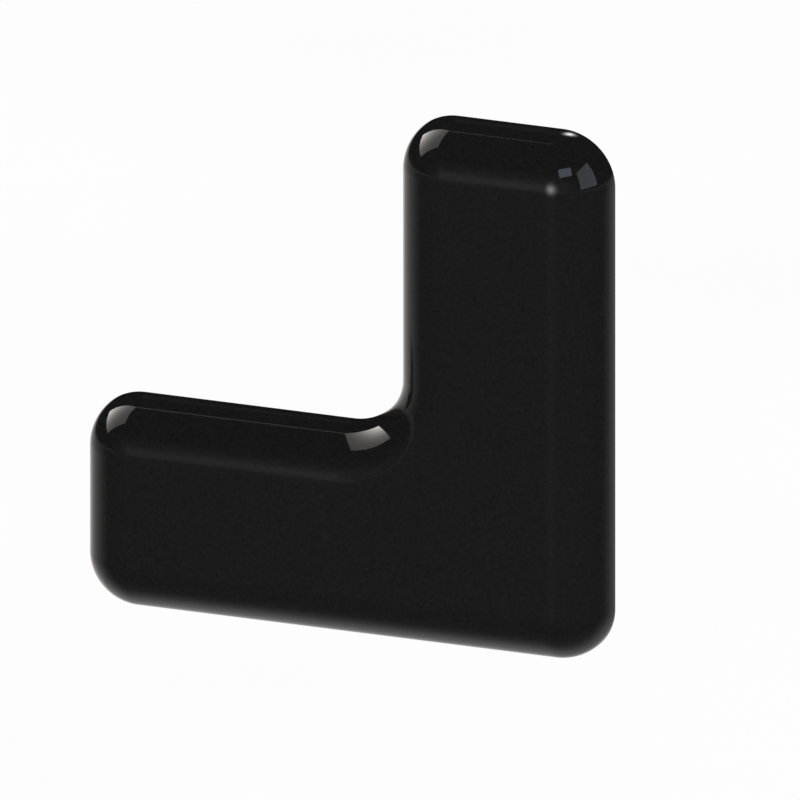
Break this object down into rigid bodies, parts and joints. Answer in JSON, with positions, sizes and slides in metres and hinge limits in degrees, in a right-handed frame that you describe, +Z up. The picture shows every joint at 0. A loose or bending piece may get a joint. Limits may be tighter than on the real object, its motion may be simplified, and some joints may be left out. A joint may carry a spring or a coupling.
{
  "type": "profile end cap",
  "caption": "L-shaped glossy black plastic end cap with fully rounded edges and split pegs behind, for closing the end of an angle-shaped aluminium profile.",
  "frame": {"origin": "axis of the corner peg, in the plane of the rim that seats on the profile's end", "axes": "+Y out of the back along the pegs, +Z up along the upright leg, -X along the lower leg"},
  "size_m": [0.04, 0.014, 0.04],
  "materials": {
    "cap": "glossy moulded, black"
  },
  "bodies": {
    "root": {"end_cap": "cap"}
  },
  "joints": []
}
